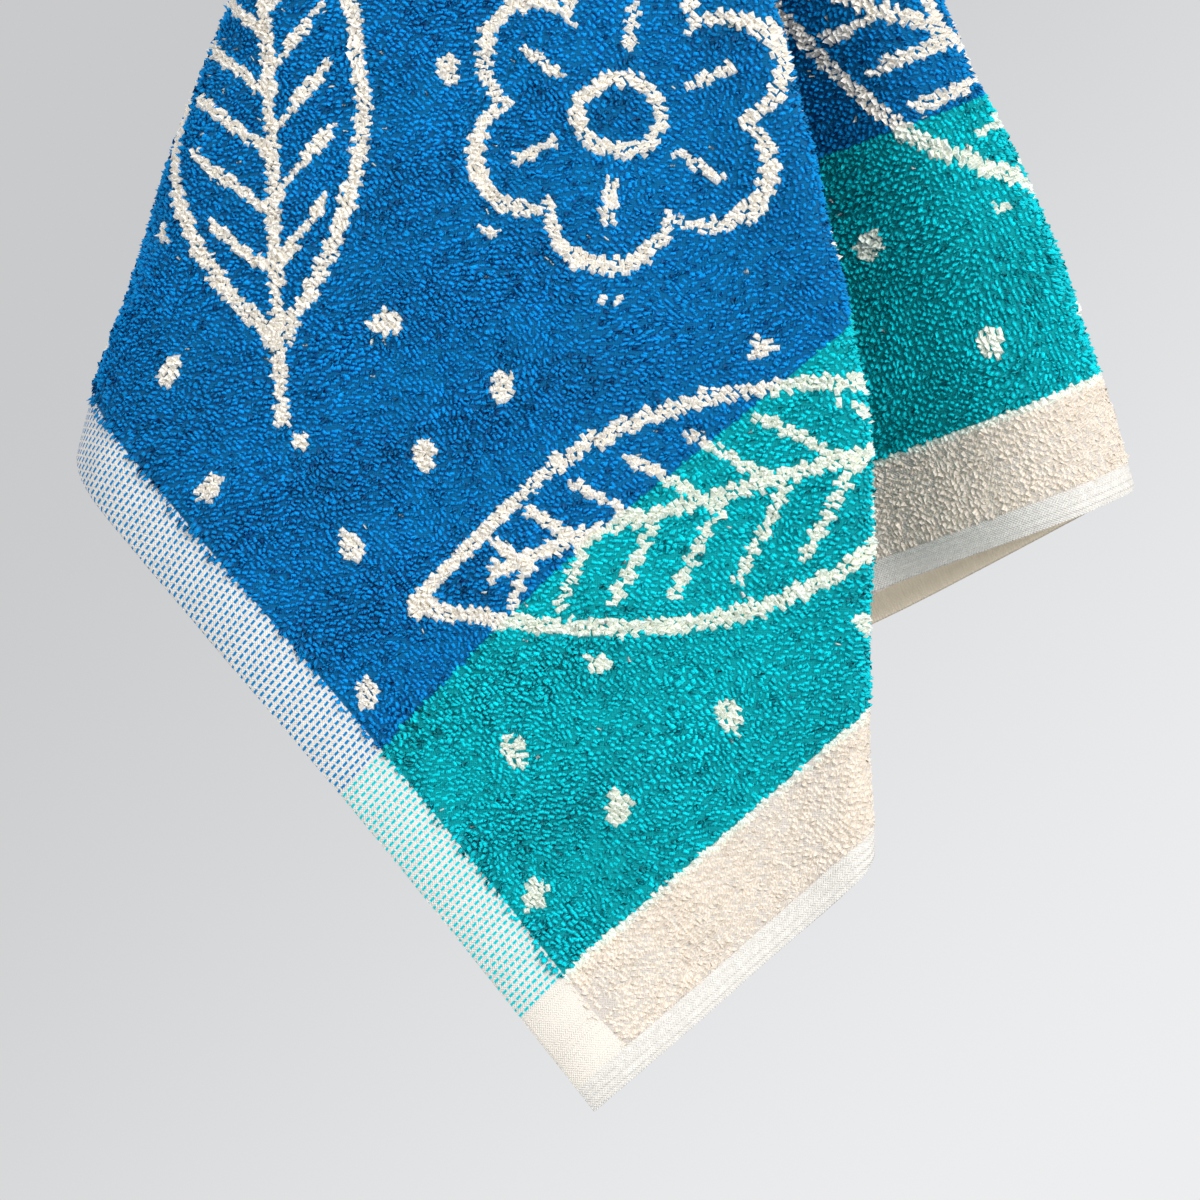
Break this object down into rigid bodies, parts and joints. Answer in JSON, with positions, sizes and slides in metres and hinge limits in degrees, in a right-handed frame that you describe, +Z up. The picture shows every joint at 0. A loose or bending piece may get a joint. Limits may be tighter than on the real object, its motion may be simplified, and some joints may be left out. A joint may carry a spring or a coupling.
{
  "type": "hand towel",
  "caption": "Terry hand towel hanging in soft folds from one point of its upper edge, with a corner at the front and flat-woven hems.",
  "frame": {"origin": "the hanging point, where the middle of the towel's upper long edge is gathered into a small ring", "axes": "+Z up, +X to the viewer's right with the towel seen from the front, +Y away from the viewer"},
  "size_m": [0.2097, 0.1533, 0.3871],
  "materials": {
    "terry_cotton": "looped cotton pile, matt"
  },
  "bodies": {
    "root": {"towel": "terry_cotton"}
  },
  "joints": []
}
